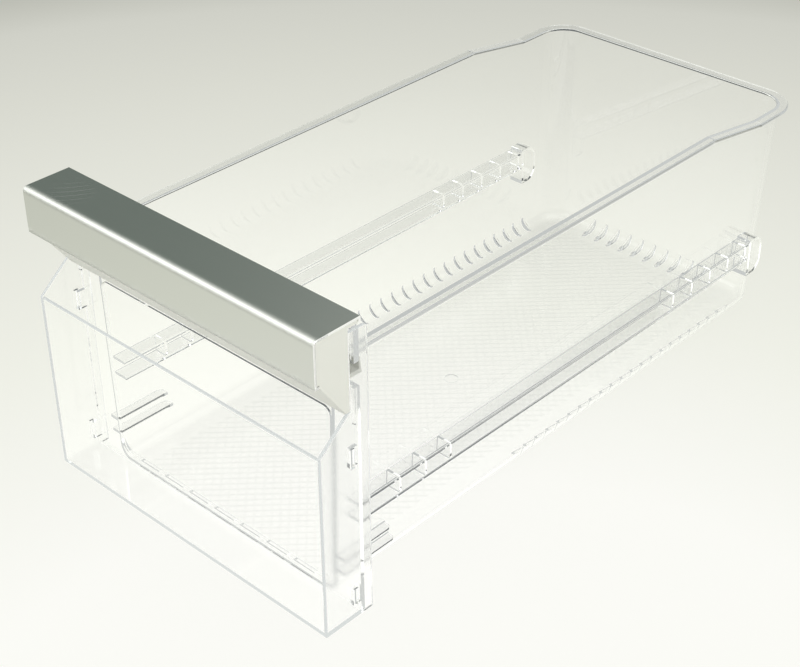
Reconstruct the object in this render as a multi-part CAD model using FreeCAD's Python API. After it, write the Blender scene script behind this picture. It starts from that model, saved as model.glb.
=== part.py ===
import FreeCAD, Part
import math
import os
from FreeCAD import Vector

# Clear refrigerator drawer with a metal-trimmed handle bar. Millimetres, +Z up.
# X runs across the drawer, Y from its front to its back.
# The origin is at the middle of the underside. Depths are measured back from the handle's front face.

# Overall sizes
width = 220.0
height = 183.0
rim_height = 154.0
rim_low_height = 146.0
tub_back_depth = 436.4

# Tub walls
wall = 2.2
floor = 2.2
side_space = 18.7
side_draft = 4.8
back_draft = 7.4
floor_radius = 6.5
back_corner_radius = 17.0
rim_drop_start = 345.0
rim_drop_end = 397.0

# Rim lip
lip_reach = 4.7
lip_thickness = 2.0
rim_edge_radius = 0.8

# Front frame of the tub, a flat plate with a window
frame_gap = 5.4
frame_thickness = 2.5
frame_top_gap = 2.0
frame_edge_reach = 1.2
frame_edge_width = 2.0
window_bottom = 6.4
window_top = 121.3
window_bottom_radius = 9.0
window_top_radius = 5.0

# Feet under the front frame, left standing between shallow notches
notch_count = 7
notch_pitch = 21.5
notch_length = 16.0
notch_height = 1.6

# Runners on the side walls
runner_top = 62.0
runner_height = 12.6
runner_reach = 9.7
runner_plate = 1.8
runner_edge_radius = 0.5
runner_start = 38.0
runner_end = 398.0
rib_thickness = 1.6
rib_setback = 0.5
front_rib_start = 67.0
front_rib_count = 3
rear_rib_start = 312.0
rear_rib_count = 5
rib_pitch = 19.8
nose_drop = 12.0
nose_rise = 1.6
nose_length = 13.0
nose_radius = 9.0
nose_wall = 2.0

# Small ribs in the corner between floor and walls
corner_rib_height = 8.5
corner_rib_width = 2.8
corner_rib_round = 1.2
corner_rib_pitch = 10.6
side_rib_reach = 8.5
side_rib_start = 184.4
side_rib_count = 21
back_rib_reach = 15.0
back_rib_count = 10

# Locating lugs low on the side walls
lug_reach = 6.0
lug_thickness = 2.0
lug_round = 4.0
lug_ends = (66.0, 69.0)
lug_heights = (25.0, 15.5)

# Front cover: panel, two cheeks and a bottom strip
cover_wall = 2.0
panel_setback = 0.8
panel_height = 114.4
cheek_depth = 35.5
cheek_top_gap = 0.3
cheek_top_radius = 3.0
recess_setback = 1.1
recess_corner_height = 131.5
cover_edge_radius = 0.8
cover_soft_radius = 0.5

# Snaps between cover and tub
snap_gap = 0.3
snap_reach = 5.8
snap_length = 2.8
snap_bottoms = (7.0, 97.0)
snap_height = 12.0
snap_arm = 2.0
snap_tip_setback = 0.4

# Handle bar: metal trim over a plastic core
trim_wall = 1.5
trim_depth = 31.0
trim_front_height = 27.4
trim_edge_radius = 2.5
trim_hook = 3.2
trim_back_hook = 3.0
trim_small_radius = 0.5
trim_gap = 0.1
core_skin = 2.2
core_back_depth = 22.6
core_foot_height = 128.6
core_end_gap = 0.3
core_rib_thickness = 1.8
core_rib_count = 9

# Hooks that hold the handle core to the tub's front frame
hook_width = 7.0
hook_thickness = 2.5
hook_barb = 1.6
hook_tip = 0.6
hook_root = 5.0
hook_top = 152.0
hook_gap = 0.5
slot_bottom = 143.0
slot_top = 157.0

# Mark left by the mould's gate, a shallow round hollow under the floor
gate_x = 1.5
gate_depth = 218.0
gate_radius = 4.5
gate_hollow = 0.5

# Helpers for building: how far a cutter runs past a face, and how near counts as the same place
overrun = 1.0
near = 0.01

# Values worked out from those above
half = width / 2.0
rim_half_inside = half - side_space
length = tub_back_depth + wall + lip_reach
frame_depth = core_back_depth + frame_gap
frame_edge_front = frame_depth - frame_edge_reach
frame_back = frame_depth + frame_thickness
frame_half = half - cover_wall - snap_gap
frame_top = height - trim_wall - core_skin - frame_top_gap
cheek_height = frame_top - cheek_top_gap
trim_bottom = height - trim_front_height
recess_depth = core_back_depth - recess_setback
snap_front = frame_depth - snap_reach
runner_bottom = runner_top - runner_height


def at(depth):
    """Y of a depth behind the handle's front face."""
    return depth - length / 2.0


def block(x0, x1, depth0, depth1, z0, z1):
    return Part.makeBox(x1 - x0, depth1 - depth0, z1 - z0, Vector(x0, at(depth0), z0))


def side_prism(points, x0, x1):
    """Outline of (depth, z) points, drawn seen from the side, pushed across from x0 to x1."""
    corners = [Vector(x0, at(depth), z) for depth, z in points]
    face = Part.Face(Part.makePolygon(corners + corners[:1]))
    return face.extrude(Vector(x1 - x0, 0, 0))


def front_prism(points, depth0, depth1):
    """Outline of (x, z) points, drawn seen from the front, pushed back from depth0 to depth1."""
    corners = [Vector(x, at(depth0), z) for x, z in points]
    face = Part.Face(Part.makePolygon(corners + corners[:1]))
    return face.extrude(Vector(0, depth1 - depth0, 0))


def mirrored(shape):
    return shape.mirror(Vector(0, 0, 0), Vector(1, 0, 0))


def edges_along(shape, direction, keep):
    """Straight edges along a direction whose middle point passes the test keep."""
    found = []
    for edge in shape.Edges:
        if not isinstance(edge.Curve, (Part.Line, Part.LineSegment)):
            continue
        run = edge.Vertexes[-1].Point.sub(edge.Vertexes[0].Point)
        if run.cross(direction).Length > near:
            continue
        if keep(edge.CenterOfMass):
            found.append(edge)
    return found


def wall_half_inside(z):
    """Half of the tub's inside width at a height: the side walls lean out."""
    return rim_half_inside - side_draft * (rim_height - z) / rim_height


def back_inside(z):
    """Depth of the back wall's inside face at a height."""
    return tub_back_depth - back_draft * (rim_height - z) / rim_height


def tub_solid(offset, z0, z1, radius):
    """The tub's tapered body from z0 to z1, grown outwards by offset, round at the back and below."""
    low = wall_half_inside(z0) + offset
    high = wall_half_inside(z1) + offset
    from_front = [(-low, z0), (low, z0), (high, z1), (-high, z1)]
    low_back = back_inside(z0) + offset
    high_back = back_inside(z1) + offset
    from_side = [(frame_depth, z0), (low_back, z0), (high_back, z1), (frame_depth, z1)]
    body = front_prism(from_front, frame_depth, length).common(side_prism(from_side, -half, half))
    behind = at(frame_depth) + near
    upright = []
    for edge in body.Edges:
        if edge.CenterOfMass.y > behind and edge.BoundBox.ZLength > (z1 - z0) / 2.0:
            upright.append(edge)
    body = body.makeFillet(back_corner_radius + offset, upright)
    bottom = []
    for edge in body.Edges:
        if edge.CenterOfMass.y > behind and edge.BoundBox.ZMax < z0 + near:
            bottom.append(edge)
    return body.makeFillet(radius, bottom)


def rim_line(drop):
    """Line of (depth, z) along the rim's top, lowered by drop, from the front frame to the back."""
    return [
        (frame_back - overrun, rim_height - drop),
        (rim_drop_start, rim_height - drop),
        (rim_drop_end, rim_low_height - drop),
        (length + overrun, rim_low_height - drop),
    ]


def rim_z(depth):
    """Height of the rim's top at a depth."""
    fallen = (depth - rim_drop_start) / (rim_drop_end - rim_drop_start)
    return rim_height - (rim_height - rim_low_height) * min(max(fallen, 0.0), 1.0)


def under_rim():
    """Everything below the rim's line, behind the front frame."""
    outline = rim_line(0.0) + [(length + overrun, -overrun), (frame_back - overrun, -overrun)]
    return side_prism(outline, -half, half)


def rim_lip():
    """Flat lip round the two sides and the back, which follows the rim down at the rear."""
    band = side_prism(rim_line(0.0) + rim_line(lip_thickness)[::-1], -half, half)
    reach = wall + lip_reach
    edge = rim_half_inside + reach
    plate = block(-edge, edge, frame_depth, length, 0.0, rim_height)
    back_corners = edges_along(plate, Vector(0, 0, 1), lambda p: p.y > at(length) - near)
    return band.common(plate.makeFillet(back_corner_radius + reach, back_corners))


def round_rim(body):
    """Rounds the two long edges of the rim's top, inside and outside."""
    shortest = 2.0 * (wall + lip_reach)
    edges = []
    for edge in body.Edges:
        if edge.Length < shortest:
            continue
        if all(abs(p.z - rim_z(p.y + length / 2.0)) < near for p in edge.discretize(3)):
            edges.append(edge)
    return body.makeFillet(rim_edge_radius, edges)


def foot_notches():
    """Cutters for the row of shallow notches under the front frame."""
    notches = []
    for i in range(notch_count):
        x = (i - (notch_count - 1) / 2.0) * notch_pitch
        notches.append(block(x - notch_length / 2.0, x + notch_length / 2.0,
                             frame_depth - overrun, frame_back + overrun, -overrun, notch_height))
    return notches


def front_frame():
    """Flat plate round the front of the tub, with the window that the hand and the eye go through."""
    plate = block(-frame_half, frame_half, frame_depth, frame_back, 0.0, frame_top)
    edge = block(frame_half - frame_edge_width, frame_half, frame_edge_front, frame_back,
                 window_top, frame_top)
    plate = plate.fuse([edge, mirrored(edge)])
    low = wall_half_inside(window_bottom)
    high = wall_half_inside(window_top)
    outline = [(-low, window_bottom), (low, window_bottom), (high, window_top), (-high, window_top)]
    window = front_prism(outline, frame_depth - overrun, frame_back + overrun)
    through = Vector(0, 1, 0)
    low_edges = edges_along(window, through, lambda p: p.z < window_bottom + near)
    window = window.makeFillet(window_bottom_radius, low_edges)
    high_edges = edges_along(window, through, lambda p: p.z > window_top - near)
    window = window.makeFillet(window_top_radius, high_edges)
    slot_in = frame_half - hook_width - 2.0 * hook_gap
    slot = block(slot_in, half, frame_edge_front - overrun, frame_back + overrun, slot_bottom, slot_top)
    return plate.cut([window, slot, mirrored(slot)] + foot_notches())


def runner():
    """Right-hand runner: a channel open outwards, ribbed at both ends, with a stop nose behind."""
    inner = wall_half_inside(runner_bottom)
    outer = wall_half_inside(runner_top) + wall + runner_reach
    parts = []
    for z in (runner_top - runner_plate, runner_bottom):
        plate = block(inner, outer, runner_start, runner_end, z, z + runner_plate)
        long_edges = edges_along(plate, Vector(0, 1, 0), lambda p: p.x > outer - near)
        parts.append(plate.makeFillet(runner_edge_radius, long_edges))
    starts = [front_rib_start + rib_pitch * i for i in range(front_rib_count)]
    starts += [rear_rib_start + rib_pitch * i for i in range(rear_rib_count)]
    for start in starts:
        parts.append(block(inner, outer - rib_setback, start, start + rib_thickness,
                           runner_bottom, runner_top))
    parts.append(nose_ring(inner, outer))
    return parts[0].fuse(parts[1:]).removeSplitter()


def nose_outline(inset):
    """Side view of the stop nose: square in front, rounded behind, hanging below the runner."""
    front = runner_end - nose_wall + inset
    back = runner_end + nose_length - inset
    top = runner_top + nose_rise - inset
    bottom = runner_bottom - nose_drop + inset
    r = nose_radius - inset
    bend = r * (1.0 - math.sqrt(0.5))
    points = [
        Vector(0, at(front), bottom),
        Vector(0, at(back - r), bottom),
        Vector(0, at(back - bend), bottom + bend),
        Vector(0, at(back), bottom + r),
        Vector(0, at(back), top - r),
        Vector(0, at(back - bend), top - bend),
        Vector(0, at(back - r), top),
        Vector(0, at(front), top),
    ]
    return Part.Wire([
        Part.LineSegment(points[0], points[1]).toShape(),
        Part.Arc(points[1], points[2], points[3]).toShape(),
        Part.LineSegment(points[3], points[4]).toShape(),
        Part.Arc(points[4], points[5], points[6]).toShape(),
        Part.LineSegment(points[6], points[7]).toShape(),
        Part.LineSegment(points[7], points[0]).toShape(),
    ])


def nose_ring(inner, outer):
    solid = Part.Face(nose_outline(0.0)).extrude(Vector(outer - inner, 0, 0))
    hollow = Part.Face(nose_outline(nose_wall)).extrude(Vector(outer - inner, 0, 0))
    ring = solid.cut(hollow)
    ring.translate(Vector(inner, 0, 0))
    return ring


def corner_rib(reach):
    """One small rib across the corner of floor and wall. The corner is its origin, its root is sunk."""
    sunk = wall / 2.0
    bend = floor_radius / 2.0
    outline = [(-reach, -sunk), (-bend, -sunk), (sunk, bend), (sunk, corner_rib_height)]
    corners = [Vector(x, -corner_rib_width / 2.0, z) for x, z in outline]
    face = Part.Face(Part.makePolygon(corners + corners[:1]))
    rib = face.extrude(Vector(0, corner_rib_width, 0))
    slant = corners[3].sub(corners[0]).normalize()
    return rib.makeFillet(corner_rib_round, edges_along(rib, slant, lambda p: p.x < -bend / 2.0))


def corner_ribs():
    """Rows of small ribs along both side walls and the back wall."""
    ribs = []
    for i in range(side_rib_count):
        rib = corner_rib(side_rib_reach)
        rib.translate(Vector(wall_half_inside(floor), at(side_rib_start + corner_rib_pitch * i), floor))
        ribs += [rib, mirrored(rib)]
    for i in range(back_rib_count):
        rib = corner_rib(back_rib_reach)
        rib.rotate(Vector(0, 0, 0), Vector(0, 0, 1), 90)
        x = (i - (back_rib_count - 1) / 2.0) * corner_rib_pitch
        rib.translate(Vector(x, at(back_inside(floor)), floor))
        ribs.append(rib)
    return ribs


def locating_lugs():
    """Two flat lugs low on the right side wall, behind the front frame, with rounded ends."""
    lugs = []
    for end, z in zip(lug_ends, lug_heights):
        inner = wall_half_inside(z)
        outer = inner + wall + lug_reach
        lug = block(inner, outer, frame_back - near, end, z, z + lug_thickness)
        corner = edges_along(lug, Vector(0, 0, 1),
                             lambda p: p.x > outer - near and p.y > at(end) - near)
        lugs.append(lug.makeFillet(lug_round, corner))
    return lugs


def snap_arms():
    """Arms that reach forward from the frame's right edge, each with a nose for a window in the cover."""
    arms = []
    front = snap_front + snap_gap
    back = snap_front + snap_length - snap_gap
    tip = half - snap_tip_setback
    root = frame_half - snap_arm
    for bottom in snap_bottoms:
        z0 = bottom + snap_gap
        z1 = bottom + snap_height - snap_gap
        arm = block(root, frame_half, front, frame_back, z0, z1)
        corners = [Vector(x, at(depth), z0) for x, depth in ((root, front), (tip, back), (root, back))]
        face = Part.Face(Part.makePolygon(corners + corners[:1]))
        nose = face.extrude(Vector(0, 0, z1 - z0))
        arms.append(arm.fuse(nose))
    return arms


def gate_mark():
    """Cutter for the shallow round hollow under the floor."""
    foot = Vector(gate_x, at(gate_depth), -overrun)
    return Part.makeCylinder(gate_radius, gate_hollow + overrun, foot)


def make_tub():
    outer = tub_solid(wall, 0.0, rim_height, floor_radius + wall)
    inner = tub_solid(0.0, floor, rim_height + overrun, floor_radius)
    behind_frame = block(-half, half, frame_back, length, 0.0, height)
    shell = outer.common(under_rim()).common(behind_frame)
    right = [runner()] + locating_lugs() + snap_arms()
    body = shell.fuse(right + [mirrored(shape) for shape in right] + [rim_lip()])
    body = body.cut([inner.common(behind_frame), gate_mark()])
    body = body.fuse([front_frame()] + corner_ribs()).removeSplitter()
    return round_rim(body)


def cheek():
    """Right cheek of the cover: its front edge is cut back in a slant to make room for the hand."""
    back_face = core_back_depth + snap_gap
    outline = [
        (panel_setback, 0.0),
        (cheek_depth, 0.0),
        (cheek_depth, cheek_height),
        (back_face, cheek_height),
        (back_face, recess_corner_height),
        (recess_depth, recess_corner_height),
        (panel_setback, panel_height),
    ]
    plate = side_prism(outline, half - cover_wall, half)
    top_back = edges_along(plate, Vector(1, 0, 0),
                           lambda p: p.z > cheek_height - near and p.y > at(cheek_depth) - near)
    plate = plate.makeFillet(cheek_top_radius, top_back)
    windows = [block(half - cover_wall - overrun, half + overrun, snap_front, snap_front + snap_length,
                     bottom, bottom + snap_height) for bottom in snap_bottoms]
    return plate.cut(windows)


def soft_edges(cover):
    """Edges of the cover that a hand meets: the panel's top, the slants and the cheeks' backs."""
    slant = Vector(0, recess_depth - panel_setback, recess_corner_height - panel_height).normalize()
    behind_panel = at(panel_setback + cover_wall) + near
    found = edges_along(cover, slant, lambda p: panel_height < p.z < recess_corner_height)
    found += edges_along(
        cover, Vector(1, 0, 0),
        lambda p: abs(p.z - panel_height) < near and p.y < behind_panel and abs(p.x) < half - cover_wall)
    found += edges_along(cover, Vector(0, 0, 1), lambda p: p.y > at(cheek_depth) - near)
    return found


def make_front_cover():
    """Clear panel, bottom strip and two cheeks in one moulding, its outer edges rounded."""
    panel = block(-half, half, panel_setback, panel_setback + cover_wall, 0.0, panel_height)
    strip = block(-half, half, panel_setback, frame_depth - snap_gap, 0.0, cover_wall)
    right = cheek()
    cover = panel.fuse([strip, right, mirrored(right)]).removeSplitter()
    in_front = at(panel_setback) + near
    front_edges = edges_along(cover, Vector(0, 0, 1), lambda p: p.y < in_front)
    front_edges += edges_along(cover, Vector(1, 0, 0), lambda p: p.y < in_front and p.z < near)
    cover = cover.makeFillet(cover_edge_radius, front_edges)
    return cover.makeFillet(cover_soft_radius, soft_edges(cover))


def make_handle_trim():
    """Metal profile: flat top, flat front and a rounded edge between, hooked under at both ends."""
    outline = [
        (0.0, trim_bottom),
        (0.0, height),
        (trim_depth, height),
        (trim_depth, height - trim_back_hook),
        (trim_depth - trim_wall, height - trim_back_hook),
        (trim_depth - trim_wall, height - trim_wall),
        (trim_wall, height - trim_wall),
        (trim_wall, trim_bottom + trim_wall),
        (trim_hook, trim_bottom + trim_wall),
        (trim_hook, trim_bottom),
    ]
    profile = side_prism(outline, -half, half)
    across = Vector(1, 0, 0)
    outside = edges_along(profile, across, lambda p: p.z > height - near and p.y < at(near))
    profile = profile.makeFillet(trim_edge_radius, outside)
    inside = edges_along(
        profile, across,
        lambda p: abs(p.z - height + trim_wall) < near and abs(p.y - at(trim_wall)) < near)
    profile = profile.makeFillet(trim_edge_radius - trim_wall, inside)
    small = edges_along(
        profile, across,
        lambda p: p.z < trim_bottom + near or (p.z > height - near and p.y > at(trim_depth) - near))
    return profile.makeFillet(trim_small_radius, small)


def core_outline(inset):
    """Side view of the handle core, drawn inwards by inset except at its open back."""
    fall = trim_bottom - core_foot_height
    run = core_back_depth - trim_hook - trim_gap
    slant = math.hypot(fall, run)
    front = trim_wall + trim_gap + inset
    top = height - trim_wall - trim_gap - inset
    step = trim_bottom + trim_wall + trim_gap + inset
    slope_depth = trim_hook + trim_gap + inset * fall / slant
    slope_height = trim_bottom + inset * run / slant
    foot = slope_height - (core_back_depth - slope_depth) * fall / run
    return [
        (front, step),
        (front, top),
        (core_back_depth, top),
        (core_back_depth, foot),
        (slope_depth, slope_height),
        (slope_depth, step),
    ]


def make_handle_core():
    """Moulded beam inside the trim, open behind and ribbed, with end walls, a roof and two hooks."""
    end = half - core_end_gap
    inside = end - core_skin
    body = side_prism(core_outline(0.0), -end, end)
    front_top = edges_along(body, Vector(1, 0, 0),
                            lambda p: p.z > height - trim_edge_radius and p.y < at(trim_edge_radius))
    body = body.makeFillet(trim_edge_radius - trim_wall - trim_gap, front_top)
    body = body.cut(side_prism(core_outline(core_skin), -inside, inside))
    top = height - trim_wall - trim_gap
    roof_back = trim_depth - trim_wall - trim_gap
    additions = [block(-end, end, core_back_depth - overrun, roof_back, top - core_skin, top)]
    pitch = 2.0 * inside / (core_rib_count + 1)
    for i in range(core_rib_count):
        x = -inside + pitch * (i + 1) - core_rib_thickness / 2.0
        additions.append(side_prism(core_outline(core_skin / 2.0), x, x + core_rib_thickness))
    right = core_hook()
    body = body.fuse(additions + [right, mirrored(right)])
    notch = block(half - cover_wall - snap_gap, half, 0.0, core_back_depth + overrun,
                  0.0, recess_corner_height + snap_gap)
    return body.cut([notch, mirrored(notch)]).removeSplitter()


def core_hook():
    """Right-hand flat hook, which passes a slot in the tub's frame and catches behind its top edge."""
    x1 = frame_half - hook_gap
    x0 = x1 - hook_width
    z0 = hook_top - hook_thickness
    root_front = core_back_depth - core_skin
    catch_front = frame_back + hook_gap
    tongue = block(x0, x1, root_front, catch_front, z0, hook_top)
    root = block(x0, half - core_end_gap, root_front, core_back_depth, z0 - hook_root, hook_top + hook_root)
    barb = side_prism([
        (catch_front, z0),
        (catch_front, slot_top + hook_barb),
        (catch_front + hook_tip, slot_top + hook_barb),
        (catch_front + hook_barb, z0),
    ], x0, x1)
    return tongue.fuse([root, barb])


def save(shape, node):
    shape.exportStep(os.path.join("parts", node + ".step"))
    box = shape.BoundBox
    sides = [round(side, 1) for side in (box.XLength, box.YLength, box.ZLength)]
    print(node, len(shape.Solids), "solid, valid", shape.isValid(), "size mm", sides,
          "volume mm3", round(shape.Volume))


os.makedirs("parts", exist_ok=True)
save(make_tub(), "tub")
save(make_front_cover(), "front_cover")
save(make_handle_trim(), "handle_trim")
save(make_handle_core(), "handle_core")
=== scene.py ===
# %% [markdown]
# A clear refrigerator drawer, seen a little from above and from its right.
# It is four real pieces: a clear tub, a clear front cover that snaps onto it, a satin metal
# profile over the handle, and the silver-grey plastic core that the profile slides over.
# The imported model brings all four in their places, in metres, with X across the drawer, Y from
# its front to its back and Z up. What is left for this lesson is what makes them look real: the
# plastics, the metal, the light and the camera.

# %% Load the frame
import math

import bpy
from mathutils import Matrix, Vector


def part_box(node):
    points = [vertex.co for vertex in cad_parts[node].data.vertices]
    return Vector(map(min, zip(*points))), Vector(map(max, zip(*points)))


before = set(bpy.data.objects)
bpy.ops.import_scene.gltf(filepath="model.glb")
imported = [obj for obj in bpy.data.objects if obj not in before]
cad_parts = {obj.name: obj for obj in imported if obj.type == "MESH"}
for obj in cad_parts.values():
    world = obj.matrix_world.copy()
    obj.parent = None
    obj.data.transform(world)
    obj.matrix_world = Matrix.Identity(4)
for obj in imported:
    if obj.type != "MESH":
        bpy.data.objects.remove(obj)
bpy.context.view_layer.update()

MILLIMETRES = 1000.0

for node_name in sorted(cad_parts):
    low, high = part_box(node_name)
    print(node_name, [round(MILLIMETRES * (b - a), 1) for a, b in zip(low, high)], "mm")

# %% [markdown]
# Every finish below is a small tree of shader nodes. Written out by hand, a node takes a line for
# itself, one for each setting and one for each wire. So one helper adds a node with all of them,
# and two more open and close a material.

# %% Helpers for a material's nodes
def add_node(tree, kind, inputs=None, **settings):
    """A new node of that kind, its properties set, its inputs given a value or a wire."""
    node = tree.nodes.new(kind)
    for name, value in settings.items():
        setattr(node, name, value)
    for name, value in (inputs or {}).items():
        if isinstance(value, bpy.types.NodeSocket):
            tree.links.new(value, node.inputs[name])
        else:
            node.inputs[name].default_value = value
    return node


def new_material(name):
    """An empty node material and its output node."""
    material = bpy.data.materials.new(name)
    material.use_nodes = True
    material.node_tree.nodes.clear()
    return material, add_node(material.node_tree, "ShaderNodeOutputMaterial")


def finish_material(material, output, shader):
    """The material with the shader wired to its output."""
    material.node_tree.links.new(shader, output.inputs["Surface"])
    print("material:", material.name, "with", len(material.node_tree.nodes), "nodes")
    return material


# %% [markdown]
# The tub and the cover are injection-moulded clear plastic. Clear plastic could be faked with a
# half-transparent surface, but then its edges would look like its faces. On the real drawer the
# faces nearly vanish and the edges draw the shape, because light that enters an edge is bent and
# mirrored inside the wall. The walls have their real thickness here, so a shader that bends light
# by the plastic's own index gives those edges by itself.
#
# One thing needs help first. A ray that is mirrored on and on inside a wall is given up after a
# few turns and would come out black. In a real wall it leaves in the end and brings some light.
# Following it so far would take too long for what it shows, so from the turn where a ray is given
# up the plastic gives a small light of its own. It adds at each further turn, so it is kept low.

# %% Rays that get lost inside a wall
MOST_MIRRORINGS = 3.5
MOST_STEPS = 11.5


def maths(tree, operation, *values):
    """The wire of a Math node. Each value is a number or a wire."""
    return add_node(tree, "ShaderNodeMath", dict(enumerate(values)),
                    operation=operation).outputs["Value"]


def either(tree, first, second):
    """The larger of two wires: 1 where one of them is 1."""
    return maths(tree, "MAXIMUM", first, second)


def given_up(tree, path):
    """1 where the renderer hardly follows a ray any further inside the plastic."""
    mirrored = maths(tree, "GREATER_THAN", path.outputs["Glossy Depth"], MOST_MIRRORINGS)
    long = maths(tree, "GREATER_THAN", path.outputs["Ray Depth"], MOST_STEPS)
    return either(tree, mirrored, long)


print("a ray inside the plastic is lost after", int(MOST_MIRRORINGS), "mirrorings")

# %% [markdown]
# The plastic itself is one shader that bends and mirrors light. Lamp light has to get through it
# as well, to what lies behind, and there the bending shader would cast a black shadow. A real
# clear wall hardly casts any, so for shadow rays only, the surface is a nearly clear film.

# %% Clear plastic
PLASTIC_INDEX = 1.5
PLASTIC_TINT = (0.997, 0.998, 0.997, 1.0)
PLASTIC_ROUGHNESS = 0.012
SHADOW_FILM = (0.93, 0.94, 0.93, 1.0)
TUB_EDGE_LIGHT = (0.275, 0.285, 0.28, 1.0)
COVER_EDGE_LIGHT = (0.345, 0.36, 0.355, 1.0)


def clear_plastic(name, surface, edge_light, roughness=None, tint=None):
    """Clear moulded plastic. surface adds nodes to the tree and gives the wire of its Normal.
    roughness and tint do the same for what differs from place to place. edge_light is the light
    that the plastic gives where a ray is given up."""
    material, output = new_material(name)
    tree = material.node_tree
    path = add_node(tree, "ShaderNodeLightPath")
    plastic = add_node(tree, "ShaderNodeBsdfPrincipled", {
        "Base Color": tint(tree) if tint else PLASTIC_TINT,
        "Roughness": roughness(tree) if roughness else PLASTIC_ROUGHNESS,
        "IOR": PLASTIC_INDEX,
        "Transmission Weight": 1.0,
        "Emission Color": edge_light,
        "Emission Strength": given_up(tree, path),
        "Normal": surface(tree),
    })
    film = add_node(tree, "ShaderNodeBsdfTransparent", {"Color": SHADOW_FILM})
    mix = add_node(tree, "ShaderNodeMixShader", {"Fac": path.outputs["Is Shadow Ray"]})
    tree.links.new(plastic.outputs["BSDF"], mix.inputs[1])
    tree.links.new(film.outputs["BSDF"], mix.inputs[2])
    return finish_material(material, output, mix.outputs["Shader"])


mirrored_share = ((PLASTIC_INDEX - 1.0) / (PLASTIC_INDEX + 1.0)) ** 2
print("a clear face mirrors", round(100.0 * mirrored_share, 1), "% of light that meets it squarely")

# %% [markdown]
# No moulded wall is optically flat. The melt leaves long shallow waves in it as it flows away
# from the gate in the middle of the floor. They could be modelled, but they are far too low to be
# a shape, so they are a bump on the surface's normal: a noise, stretched along the way that the
# melt flows. On the real drawer they show as soft streaks where a wall mirrors the room.

# %% The moulded surface
FLOW_STRETCH = (1.0, 0.35, 0.7)
FLOW_SIZE = 9.0
FLOW_DETAIL = 2.0
FLOW_DEPTH = 0.00012


def object_place(tree):
    """The wire of the place on the object, in metres."""
    return add_node(tree, "ShaderNodeTexCoord").outputs["Object"]


def moulded_waves(tree):
    """Height of the shallow flow waves, from 0 to 1."""
    flow = add_node(tree, "ShaderNodeMapping", {
        "Vector": object_place(tree), "Scale": FLOW_STRETCH,
    }).outputs["Vector"]
    return add_node(tree, "ShaderNodeTexNoise", {
        "Vector": flow, "Scale": FLOW_SIZE, "Detail": FLOW_DETAIL,
    }).outputs["Fac"]


def moulded_surface(tree):
    """Normal of a plain moulded wall."""
    return add_node(tree, "ShaderNodeBump", {
        "Height": moulded_waves(tree), "Strength": 1.0, "Distance": FLOW_DEPTH,
    }).outputs["Normal"]


print("flow waves:", round(MILLIMETRES * FLOW_DEPTH, 2), "mm deep")

# %% [markdown]
# The tub's floor has a fine embossed net that hides scratches. Its lines run at a slant to the
# walls, 5 mm apart both ways. It could be cut into the mesh, but it is only some hundredths of a
# millimetre deep and would take many thousands of faces, so it is drawn by the material. A sine
# wave of the place gives one set of lines: its tops are the ridges. A second sine at a right angle
# gives the other set, drawn a little softer.

# %% One set of the net's lines
RIDGE_FROM = 0.35


def remap(tree, value, low, high, start=0.0, end=1.0, **settings):
    """start where the value is low, end where it is high, and a run between them."""
    return add_node(tree, "ShaderNodeMapRange", {
        "Value": value, "From Min": low, "From Max": high, "To Min": start, "To Max": end,
    }, **settings).outputs["Result"]


def net_line(tree, turn):
    """A soft ridge once in each full turn."""
    wave = maths(tree, "SINE", turn)
    return remap(tree, wave, RIDGE_FROM, 1.0, interpolation_type="SMOOTHSTEP")


print("a ridge takes", round(math.acos(RIDGE_FROM) / math.pi, 2), "of each turn")

# %% [markdown]
# The net lies only on the flat of the floor and on its upper face. A mask keeps it there: three
# tests on the place, multiplied, which are 1 inside a low flat box and 0 outside. The same height
# drives both the bump and a painted shade that darkens the tint on the ridges, in place of the
# light that the real ridges scatter and mirror.

# %% The floor's net
NET_PITCH = 0.0050
NET_TURN = math.radians(45.0)
NET_SOFTER = 0.55
NET_DEPTH = 0.00004
# painted shade: the darker tint on the net's ridges
NET_PAINTED_SHADE = (0.89, 0.90, 0.89, 1.0)
NET_LEFT, NET_RIGHT = -0.070, 0.070
NET_FRONT, NET_BACK = -0.190, 0.190
NET_BOTTOM, NET_TOP = 0.0016, 0.0032


def parts_of(tree, vector):
    """The wires X, Y and Z of a vector."""
    return add_node(tree, "ShaderNodeSeparateXYZ", {"Vector": vector}).outputs


def inside(tree, value, low, high):
    """1 where value lies between low and high."""
    return maths(tree, "COMPARE", value, (low + high) / 2.0, (high - low) / 2.0)


def floor_net(tree):
    """Height of the net's ridges on the tub's floor, and level elsewhere."""
    place = object_place(tree)
    at = parts_of(tree, place)
    wave = parts_of(tree, add_node(tree, "ShaderNodeMapping", {
        "Vector": place, "Rotation": (0.0, 0.0, NET_TURN), "Scale": (math.tau / NET_PITCH,) * 3,
    }).outputs["Vector"])
    across = net_line(tree, wave["X"])
    along = maths(tree, "MULTIPLY", net_line(tree, wave["Y"]), NET_SOFTER)
    mask = inside(tree, at["Z"], NET_BOTTOM, NET_TOP)
    mask = maths(tree, "MULTIPLY", mask, inside(tree, at["X"], NET_LEFT, NET_RIGHT))
    mask = maths(tree, "MULTIPLY", mask, inside(tree, at["Y"], NET_FRONT, NET_BACK))
    return maths(tree, "MULTIPLY", mask, either(tree, across, along))


print("floor net: a line every", round(MILLIMETRES * NET_PITCH, 1), "mm both ways")

# %% [markdown]
# The tub now gets its finish: clear plastic with the plain moulded wall, and on its floor the
# net, in the normal and as painted shade in the tint. A blend from the clear tint to a darker one
# by the net's height paints that shade on the ridges.

# %% The tub's finish
def mix_colour(tree, share, first, second):
    """Blend from first to second by share. Both may be a colour or a wire."""
    return add_node(tree, "ShaderNodeMix", {0: share, 6: first, 7: second},
                    data_type="RGBA").outputs[2]


def tub_tint_and_net_shade(tree):
    """Tint of the tub, with painted shade darkening it on the net's ridges."""
    return mix_colour(tree, floor_net(tree), PLASTIC_TINT, NET_PAINTED_SHADE)


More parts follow.
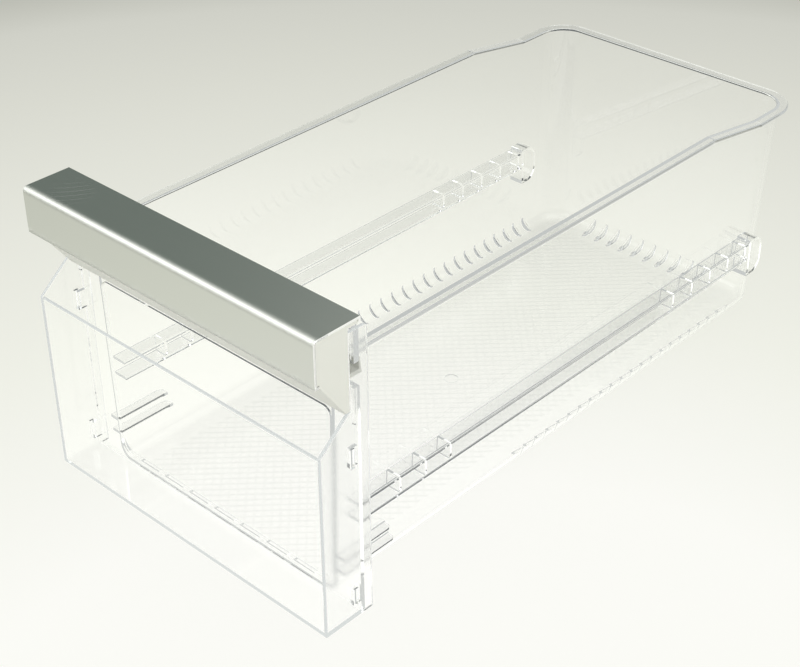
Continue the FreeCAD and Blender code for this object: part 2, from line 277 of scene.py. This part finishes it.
def tub_surface(tree):
    """Normal of the tub, with the net's ridges on its floor."""
    return add_node(tree, "ShaderNodeBump", {
        "Height": floor_net(tree), "Strength": 1.0, "Distance": NET_DEPTH,
        "Normal": moulded_surface(tree),
    }).outputs["Normal"]


tub_finish = clear_plastic("tub_clear", tub_surface, TUB_EDGE_LIGHT, tint=tub_tint_and_net_shade)

# %% [markdown]
# The front cover's panel is polished, but its cheeks look milky, and the snap arms and the frame
# behind them show only as pale shadows. That is how fine-etched plastic looks, and it is the same
# plastic with a rougher surface. A second material would need the mesh divided into slots, so the
# roughness asks instead which way each face looks.

# %% The cover's finish
SIDEWAYS = 0.9
ETCHED_ROUGHNESS = 0.14


def faces_sideways(tree):
    """1 on faces that look to the left or the right."""
    facing = parts_of(tree, add_node(tree, "ShaderNodeNewGeometry").outputs["True Normal"])
    return maths(tree, "GREATER_THAN", maths(tree, "ABSOLUTE", facing["X"]), SIDEWAYS)


def cheek_polish(tree):
    """Rough on the cover's sideways faces, polished on the rest."""
    return remap(tree, faces_sideways(tree), 0.0, 1.0, PLASTIC_ROUGHNESS, ETCHED_ROUGHNESS)


cover_finish = clear_plastic("cover_clear", moulded_surface, COVER_EDGE_LIGHT,
                             roughness=cheek_polish)

# %% [markdown]
# The handle's profile is aluminium with a satin anodised finish, and it has been handled. Scuffs
# are too fine to model and too regular for a plain noise: they are short arcs side by side, as a
# finger or a cloth leaves them. Rings round a point beside the bar give arcs, and a small round
# patch near the bar's left end keeps only a few of them.

# %% Scuffs on the metal
SCUFF_PATCH = (-0.086, -0.2075, 0.183)
SCUFF_REACH = 0.017
SCUFF_FULL = 0.3 * SCUFF_REACH
SCUFF_CENTRE = (-0.135, -0.170, 0.183)
SCUFF_PITCH = 0.0046
SCUFF_THIN = 0.90


def distance_from(tree, place, point):
    """How far the place is from the point."""
    return add_node(tree, "ShaderNodeVectorMath", {0: place, 1: point},
                    operation="DISTANCE").outputs["Value"]


def scuffs(tree, place):
    """1 on the thin arcs of the scuffed patch."""
    turn = maths(tree, "MULTIPLY", distance_from(tree, place, SCUFF_CENTRE),
                 math.tau / SCUFF_PITCH)
    thin = remap(tree, maths(tree, "SINE", turn), SCUFF_THIN, 1.0)
    patch = remap(tree, distance_from(tree, place, SCUFF_PATCH), SCUFF_FULL, SCUFF_REACH, 1.0, 0.0)
    return maths(tree, "MULTIPLY", thin, patch)


print("scuffs: an arc every", round(MILLIMETRES * SCUFF_PITCH, 1), "mm")

# %% [markdown]
# The front edge of the real profile is rolled over a few millimetres, and a bright line runs along
# it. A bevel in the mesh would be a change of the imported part, and this roll is slight, so the
# Bevel node turns only the normal. It would also soften the cut ends and the back edge. So
# the normal's part across the drawer stays the plain one, and only the front of the bar takes the
# soft normal.

# %% The rolled front edge
ROLLED_EDGE = 0.0045
ROLLED_SAMPLES = 6
ROLLED_BACK = -0.2120


def rolled_normal(tree, place):
    """Normal that turns softly over the front edge, and is the plain one everywhere else."""
    plain = add_node(tree, "ShaderNodeNewGeometry").outputs["Normal"]
    soft = add_node(tree, "ShaderNodeBevel", {"Radius": ROLLED_EDGE}, samples=ROLLED_SAMPLES)
    soft = parts_of(tree, soft.outputs["Normal"])
    rolled = add_node(tree, "ShaderNodeCombineXYZ", {
        "X": parts_of(tree, plain)["X"], "Y": soft["Y"], "Z": soft["Z"],
    }).outputs["Vector"]
    rolled = add_node(tree, "ShaderNodeVectorMath", {0: rolled},
                      operation="NORMALIZE").outputs["Vector"]
    front = maths(tree, "LESS_THAN", parts_of(tree, place)["Y"], ROLLED_BACK)
    return add_node(tree, "ShaderNodeMix", {0: front, 4: plain, 5: rolled},
                    data_type="VECTOR").outputs[1]


bar_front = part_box("handle_trim")[0].y
print("soft normal on", round(MILLIMETRES * (ROLLED_BACK - bar_front), 1), "mm of the bar's front")

# %% [markdown]
# Satin metal mirrors softly, and very fine lines run along its length from the drawing and the
# brushing. A noise stretched along X gives those lines. It drives a little of the roughness and a
# bump that is far too low to be seen as a shape. The saw-cut ends are bare metal, and their much
# lighter colour is also a painted highlight for the bright line down the profile's end. The colour
# asks which way the surface faces, as the cheeks do.

# %% Satin aluminium
ANODISED = (0.69, 0.705, 0.665, 1.0)
SAW_CUT_AND_HIGHLIGHT = (0.96, 0.965, 0.955, 1.0)
LINE_STRETCH = (6.0, 900.0, 900.0)
LINE_SIZE = 4.0
LINE_DETAIL = 3.0
LINE_STRENGTH = 0.04
LINE_DEPTH = 0.0001
SATIN_SMOOTHEST = 0.18
SATIN_ROUGHEST = 0.24
SCUFF_ROUGHER = 0.12


def satin_aluminium(name):
    material, output = new_material(name)
    tree = material.node_tree
    place = object_place(tree)
    stretched = add_node(tree, "ShaderNodeMapping", {"Vector": place, "Scale": LINE_STRETCH})
    lines = add_node(tree, "ShaderNodeTexNoise", {
        "Vector": stretched.outputs["Vector"], "Scale": LINE_SIZE, "Detail": LINE_DETAIL,
    }).outputs["Fac"]
    satin = remap(tree, lines, 0.0, 1.0, SATIN_SMOOTHEST, SATIN_ROUGHEST)
    bump = add_node(tree, "ShaderNodeBump", {
        "Height": lines, "Strength": LINE_STRENGTH, "Distance": LINE_DEPTH,
        "Normal": rolled_normal(tree, place),
    })
    metal = add_node(tree, "ShaderNodeBsdfPrincipled", {
        # bare metal and a painted highlight on the saw-cut ends, which face sideways
        "Base Color": mix_colour(tree, faces_sideways(tree), ANODISED, SAW_CUT_AND_HIGHLIGHT),
        "Metallic": 1.0,
        "Roughness": maths(tree, "MULTIPLY_ADD", scuffs(tree, place), SCUFF_ROUGHER, satin),
        "Normal": bump.outputs["Normal"],
    })
    return finish_material(material, output, metal.outputs["BSDF"])


trim_finish = satin_aluminium("trim_satin_aluminium")

# %% [markdown]
# The handle's core is a silver-grey moulding: plastic with fine metal flakes in it, and a fine
# satin grain from the mould. The flakes are too small to be seen one by one, so a very fine noise
# varies the grey a little and raises the grain.

# %% Silver-grey plastic
GRAIN_SIZE = 2600.0
GRAIN_DETAIL = 2.0
GRAIN_STRENGTH = 0.1
GRAIN_DEPTH = 0.0001
SILVER_DARKEST = 0.90
SILVER_LIGHTEST = 0.95
SILVER_BLUE = 0.93
SILVER_ROUGHNESS = 0.40


def silver_plastic(name):
    material, output = new_material(name)
    tree = material.node_tree
    grain = add_node(tree, "ShaderNodeTexNoise", {
        "Vector": object_place(tree), "Scale": GRAIN_SIZE, "Detail": GRAIN_DETAIL,
    }).outputs["Fac"]
    grey = remap(tree, grain, 0.0, 1.0, SILVER_DARKEST, SILVER_LIGHTEST)
    colour = add_node(tree, "ShaderNodeCombineColor", {
        "Red": grey, "Green": grey, "Blue": maths(tree, "MULTIPLY", grey, SILVER_BLUE),
    })
    bump = add_node(tree, "ShaderNodeBump", {
        "Height": grain, "Strength": GRAIN_STRENGTH, "Distance": GRAIN_DEPTH,
    })
    plastic = add_node(tree, "ShaderNodeBsdfPrincipled", {
        "Base Color": colour.outputs["Color"],
        "Metallic": 0.0,
        "Roughness": SILVER_ROUGHNESS,
        "Normal": bump.outputs["Normal"],
    })
    return finish_material(material, output, plastic.outputs["BSDF"])


core_finish = silver_plastic("core_silver_grey")

# %% [markdown]
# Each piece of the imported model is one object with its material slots. The pieces keep their mesh
# and their place, and only get a new material in each slot.

# %% Give each piece its finish
finishes = {
    "tub": tub_finish,
    "front_cover": cover_finish,
    "handle_trim": trim_finish,
    "handle_core": core_finish,
}
for node_name, finish in finishes.items():
    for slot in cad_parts[node_name].material_slots:
        slot.material = finish
    print(node_name, "is", finish.name)

# %% [markdown]
# The camera stands to the right of the drawer's front and looks down on it by a little more than
# a third of a right angle. Its place, its turn and its lens were found together, by lining up the
# drawer's corners with the photograph. Set by eye, one of them could make up for a fault in
# another.

# %% Camera
CAMERA_PLACE = (0.56308, -0.64361, 0.59180)
CAMERA_TURN_DEG = (56.7954, 0.3409, 43.1502)
LENS_MM = 73.706
SENSOR_MM = 36.0
NEAREST_SEEN = 0.01
FARTHEST_SEEN = 50.0

camera_data = bpy.data.cameras.new("camera")
camera_data.lens = LENS_MM
camera_data.sensor_width = SENSOR_MM
camera_data.sensor_fit = "HORIZONTAL"
camera_data.clip_start = NEAREST_SEEN
camera_data.clip_end = FARTHEST_SEEN
camera = bpy.data.objects.new("camera", camera_data)
camera.location = CAMERA_PLACE
camera.rotation_euler = [math.radians(angle) for angle in CAMERA_TURN_DEG]
bpy.context.scene.collection.objects.link(camera)
bpy.context.scene.camera = camera
print("camera at", CAMERA_PLACE)

# %% [markdown]
# The drawer stands on a plain pale floor, with a pool of light painted on it: its colour runs from
# near white in front to a soft grey far behind, as under a lamp that stands in front. A lamp near
# the floor could give that run, but it would also burn out the drawer, so the light is painted into
# the floor's colour: a ramp by the distance from the centre of the painted pool.

# %% The floor's painted pool of light
FLOOR_LIGHT_POOL_CENTRE = (0.24, -0.27, 0.0)
FLOOR_REACH = 1.60
FLOOR_PAINTED_LIGHT_COLOURS = (
    (0.26, (1.00, 1.00, 0.955, 1.0)),
    (0.45, (0.89, 0.90, 0.82, 1.0)),
    (0.84, (0.70, 0.705, 0.635, 1.0)),
    (0.99, (0.63, 0.635, 0.575, 1.0)),
    (1.08, (0.49, 0.495, 0.44, 1.0)),
    (1.25, (0.45, 0.455, 0.405, 1.0)),
    (1.50, (0.44, 0.445, 0.395, 1.0)),
)


def painted_floor_light(tree, apart):
    """Painted pool of light: the floor's colour by the distance from the pool's centre."""
    ramp = add_node(tree, "ShaderNodeValToRGB", {
        "Fac": maths(tree, "MULTIPLY", apart, 1.0 / FLOOR_REACH),
    })
    stops = ramp.color_ramp.elements
    for stop, (distance, colour) in zip(stops, (FLOOR_PAINTED_LIGHT_COLOURS[0], FLOOR_PAINTED_LIGHT_COLOURS[-1])):
        stop.position = distance / FLOOR_REACH
        stop.color = colour
    for distance, colour in FLOOR_PAINTED_LIGHT_COLOURS[1:-1]:
        stops.new(distance / FLOOR_REACH).color = colour
    return ramp.outputs["Color"]


print("floor colours up to", FLOOR_PAINTED_LIGHT_COLOURS[-1][0], "m away")

# %% [markdown]
# Clear things show whatever is around them, so the floor shows this painted light to the camera and
# also to rays that come through plastic or off metal. A part of it stays an ordinary matt surface,
# which keeps the object's soft shadow. Near the drawer the floor glows a little brighter for rays
# that come through plastic: painted light that gives back what the walls mirror away, as the
# embossed floor of a real tub scatters lamp light towards the eye.

# %% The floor's material
FLOOR_MATT = (0.86, 0.86, 0.83, 1.0)
FLOOR_OWN_LIGHT = 0.90
GIVEN_BACK = 0.13
GIVEN_BACK_NEAR = 0.45
GIVEN_BACK_FAR = 0.80


def floor_material(name):
    material, output = new_material(name)
    tree = material.node_tree
    apart = distance_from(tree, object_place(tree), FLOOR_LIGHT_POOL_CENTRE)
    path = add_node(tree, "ShaderNodeLightPath")
    through = path.outputs["Is Transmission Ray"]
    # painted light: near the drawer the floor glows brighter for rays that come through plastic
    more = remap(tree, apart, GIVEN_BACK_NEAR, GIVEN_BACK_FAR, GIVEN_BACK, 0.0)
    glow = add_node(tree, "ShaderNodeEmission", {
        "Color": painted_floor_light(tree, apart),
        "Strength": maths(tree, "MULTIPLY_ADD", more, through, 1.0),
    })
    matt = add_node(tree, "ShaderNodeBsdfDiffuse", {"Color": FLOOR_MATT})
    seen = either(tree, path.outputs["Is Camera Ray"], path.outputs["Is Glossy Ray"])
    seen = either(tree, seen, through)
    mix = add_node(tree, "ShaderNodeMixShader", {
        "Fac": maths(tree, "MULTIPLY", seen, FLOOR_OWN_LIGHT),
    })
    tree.links.new(matt.outputs["BSDF"], mix.inputs[1])
    tree.links.new(glow.outputs["Emission"], mix.inputs[2])
    return finish_material(material, output, mix.outputs["Shader"])


floor_finish = floor_material("pale_floor")

# %% [markdown]
# The floor itself is one large square, a hair below the drawer's underside, so that the two
# surfaces don't lie in one another.

# %% Floor
FLOOR_HALF = 4.0
FLOOR_DROP = 0.0004

corners = [(x, y, -FLOOR_DROP) for x, y in (
    (-FLOOR_HALF, -FLOOR_HALF), (FLOOR_HALF, -FLOOR_HALF),
    (FLOOR_HALF, FLOOR_HALF), (-FLOOR_HALF, FLOOR_HALF),
)]
floor_mesh = bpy.data.meshes.new("floor")
floor_mesh.from_pydata(corners, [], [(0, 1, 2, 3)])
floor_mesh.materials.append(floor_finish)
floor = bpy.data.objects.new("floor", floor_mesh)
bpy.context.scene.collection.objects.link(floor)
print("floor:", 2.0 * FLOOR_HALF, "m wide")

# %% [markdown]
# Light comes from large soft boxes, as in a product studio: one in front to the left, which draws
# the bright line along the handle's rolled edge, one overhead, and a smaller one to the right.
# Together they bring a pale matt surface to about its own colour and no further. Seen through the
# walls, a lamp turns the plastic's edges white, so only the front one shows there.

# %% Lamps
SOFT_BOXES = (
    # name, place, the point it faces, width and height, watts, seen through plastic
    ("front_box", (-1.1, -1.5, 1.25), (0.0, 0.0, 0.1), (2.0, 1.6), 12.5, True),
    ("top_box", (0.3, 0.1, 2.2), (0.0, 0.0, 0.0), (1.6, 1.6), 8.0, False),
    ("side_box", (1.9, -0.3, 1.0), (0.0, 0.0, 0.1), (1.2, 1.2), 12.0, False),
)

for name, place, aim, size, watts, through_plastic in SOFT_BOXES:
    data = bpy.data.lights.new(name, "AREA")
    data.shape = "RECTANGLE"
    data.size, data.size_y = size
    data.energy = watts
    lamp = bpy.data.objects.new(name, data)
    lamp.location = place
    lamp.rotation_euler = (Vector(place) - Vector(aim)).to_track_quat("Z", "Y").to_euler()
    lamp.visible_transmission = through_plastic
    bpy.context.scene.collection.objects.link(lamp)
    print("lamp:", name, watts, "W")

# %% [markdown]
# Satin metal has hardly a colour of its own: what it shows is the room that it mirrors. The room
# is white cloth, with a dark opening behind the drawer on its left and a dark band where the cloth
# meets the floor. The opening makes the handle's top dark and the band gives the plastic its thin
# dark lines. Walls and a ceiling could be modelled, but all that matters is the direction in which
# each colour lies, so the room is a colour by direction.

# %% The room by direction
CLOTH_COLOUR = (0.93, 0.945, 0.915, 1.0)
DARK_SIDE = (-0.75, 0.48, 0.455)
DARK_COLOUR = (0.165, 0.198, 0.180, 1.0)
DARK_FROM = 0.90
BAND_COLOUR = (0.20, 0.22, 0.22, 1.0)
BAND_FULL, BAND_TOP = 0.06, 0.20


def mirrored_room(tree, look, height):
    """Colour of the room in the direction look, as metal and plastic mirror it."""
    towards = add_node(tree, "ShaderNodeVectorMath", {0: look, 1: DARK_SIDE},
                       operation="DOT_PRODUCT").outputs["Value"]
    dark = remap(tree, towards, DARK_FROM, 1.0, interpolation_type="SMOOTHSTEP")
    band = remap(tree, height, BAND_FULL, BAND_TOP, 1.0, 0.0, interpolation_type="SMOOTHSTEP")
    cloth = mix_colour(tree, band, CLOTH_COLOUR, BAND_COLOUR)
    return mix_colour(tree, dark, cloth, DARK_COLOUR)


print("dark opening:", round(math.degrees(math.acos(DARK_FROM))), "degrees to each side")

# %% [markdown]
# Not every ray sees that room. The camera sees a plain grey backdrop, and matt surfaces get a
# plain even light. Rays that come through plastic see the backdrop low down and a dark ceiling
# above it, because a white one would light up every edge of the walls, and on the real drawer the
# edges are grey.

# %% World
BACKDROP_COLOUR = (0.44, 0.445, 0.395, 1.0)
AMBIENT_COLOUR = (0.42, 0.43, 0.405, 1.0)
CEILING_COLOUR = (0.07, 0.08, 0.09, 1.0)
CEILING_FROM, CEILING_FULL = 0.08, 0.30

world = bpy.data.worlds.new("studio")
world.use_nodes = True
tree = world.node_tree
tree.nodes.clear()
path = add_node(tree, "ShaderNodeLightPath")
look = add_node(tree, "ShaderNodeTexCoord").outputs["Generated"]
height = parts_of(tree, look)["Z"]
ceiling = remap(tree, height, CEILING_FROM, CEILING_FULL)
through = mix_colour(tree, ceiling, BACKDROP_COLOUR, CEILING_COLOUR)
colour = mix_colour(tree, path.outputs["Is Glossy Ray"], AMBIENT_COLOUR,
                    mirrored_room(tree, look, height))
colour = mix_colour(tree, path.outputs["Is Transmission Ray"], colour, through)
colour = mix_colour(tree, path.outputs["Is Camera Ray"], colour, BACKDROP_COLOUR)
light = add_node(tree, "ShaderNodeBackground", {"Color": colour, "Strength": 1.0})
add_node(tree, "ShaderNodeOutputWorld", {"Surface": light.outputs["Background"]})
bpy.context.scene.world = world
bpy.context.scene.view_settings.view_transform = "Standard"
print("world:", world.name, "with", len(tree.nodes), "nodes")
